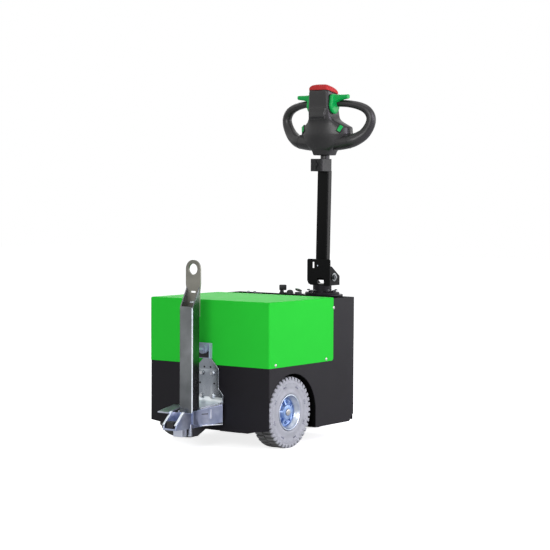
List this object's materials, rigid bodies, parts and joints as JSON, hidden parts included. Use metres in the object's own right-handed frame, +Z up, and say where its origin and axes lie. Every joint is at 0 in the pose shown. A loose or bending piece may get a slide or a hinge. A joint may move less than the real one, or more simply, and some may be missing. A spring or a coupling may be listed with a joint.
{
  "type": "electric tow tractor",
  "caption": "Walk-behind battery tow tractor: box body with a bright cover, pneumatic-look drive wheels, a tow post at the front and a tilting, steering tiller at the rear.",
  "frame": {"origin": "floor level, at the centre of the machine's footprint", "axes": "+Z up, +Y towards the tiller end, -Y towards the hitch, +X to the tractor's right seen from the hitch end"},
  "size_m": [0.504, 0.946, 1.2344],
  "materials": {
    "cover_green": "satin",
    "panel_black": "satin",
    "plastic_black": "matte",
    "gloss_black": "gloss",
    "zinc": "galvanised",
    "steel": "brushed",
    "tyre_grey": "matte",
    "tyre_dark": "matte",
    "rubber_black": "matte",
    "stop_red": "gloss",
    "button_green": "gloss",
    "lamp_clear": "gloss",
    "cast_black": "painted",
    "battery_case": "matte"
  },
  "bodies": {
    "chassis": {"side_panel_left": "panel_black", "side_panel_right": "panel_black", "front_panel": "panel_black", "rear_panel": "panel_black", "rear_deck": "panel_black", "hood": "cover_green", "wheel_well_left": "panel_black", "wheel_well_right": "panel_black", "floor_plate": "panel_black", "battery_pack": "battery_case", "battery_shelf": "panel_black", "transaxle": "cast_black", "rear_nose": "panel_black", "bearing_flange": "panel_black", "hitch_post": "zinc", "hitch_eye": "steel", "hitch_plate": "zinc", "hitch_skirt_left": "zinc", "hitch_skirt_right": "zinc", "hitch_lug": "zinc", "hitch_jaw": "zinc", "jaw_pad": "rubber_black", "hitch_foot": "zinc", "bumper_block": "rubber_black", "release_plate": "zinc", "key_switch": "plastic_black", "status_lamp": "plastic_black", "charge_socket": "lamp_clear"},
    "wheel_left": {"tyre_left": "tyre_grey", "rim_left": "zinc"},
    "wheel_right": {"tyre_right": "tyre_grey", "rim_right": "zinc"},
    "steering": {"caster_fork": "panel_black", "turret": "panel_black", "tiller_bracket": "panel_black", "pivot_bolt": "steel"},
    "caster_wheel": {"caster_tyre": "tyre_dark", "caster_hub": "plastic_black"},
    "tiller": {"mast_tube": "gloss_black", "mast_clamp": "plastic_black", "clamp_bolt": "plastic_black", "tiller_neck": "plastic_black", "head_housing": "plastic_black", "stop_cap": "stop_red", "rocker_left": "button_green", "rocker_right": "button_green", "button_left": "button_green", "button_right": "button_green", "display_window": "gloss_black", "grip_left": "plastic_black", "grip_right": "plastic_black"}
  },
  "joints": [
    {"name": "wheel_left_spin", "type": "hinge", "parent": "chassis", "child": "wheel_left", "pos_m": [-0.205, -0.136, 0.12], "axis": [1, 0, 0], "continuous": true},
    {"name": "wheel_right_spin", "type": "hinge", "parent": "chassis", "child": "wheel_right", "pos_m": [0.205, -0.136, 0.12], "axis": [1, 0, 0], "continuous": true},
    {"name": "steering_turn", "type": "hinge", "parent": "chassis", "child": "steering", "pos_m": [0, 0.398, 0.48], "axis": [0, 0, 1], "range_deg": [-85, 85]},
    {"name": "caster_spin", "type": "hinge", "parent": "steering", "child": "caster_wheel", "pos_m": [0, 0.338, 0.085], "axis": [1, 0, 0], "continuous": true},
    {"name": "tiller_tilt", "type": "hinge", "parent": "steering", "child": "tiller", "pos_m": [0, 0.399, 0.543], "axis": [-1, 0, 0], "range_deg": [0, 75], "stiffness_Nm_per_rad": 22, "springref_deg": -22.92}
  ]
}
